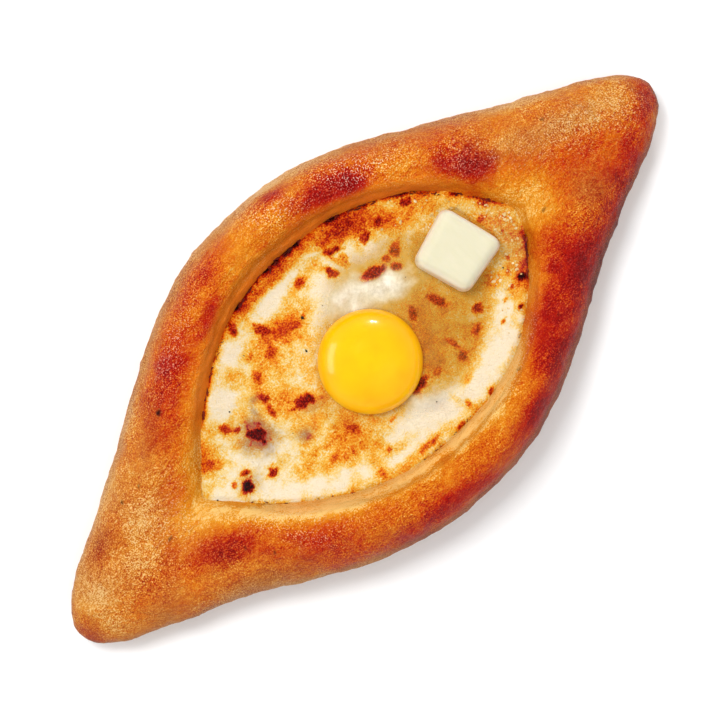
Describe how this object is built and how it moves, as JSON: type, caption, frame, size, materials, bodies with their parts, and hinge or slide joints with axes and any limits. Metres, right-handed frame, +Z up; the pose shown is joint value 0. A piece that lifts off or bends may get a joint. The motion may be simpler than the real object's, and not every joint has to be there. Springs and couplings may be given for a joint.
{
  "type": "khachapuri",
  "caption": "Open boat-shaped cheese bread with pointed ends, holding molten cheese, egg white, a whole yolk and a pat of butter.",
  "frame": {"origin": "on the surface it rests on, under the middle of the bread's bounding box", "axes": "+X along the bread towards the end with the butter, +Z up, +Y across it"},
  "size_m": [0.2796, 0.134, 0.0326],
  "materials": {
    "crust": "baked, egg-washed dough, satin",
    "cheese": "molten cheese with browned blisters, oily",
    "egg_white": "half-set egg white, wet and translucent",
    "egg_yolk": "raw yolk, wet gloss",
    "butter": "butter, soft sheen"
  },
  "bodies": {
    "root": {"bread": "crust", "cheese_filling": "cheese", "egg_white": "egg_white", "egg_yolk": "egg_yolk", "butter_pat": "butter"}
  },
  "joints": []
}
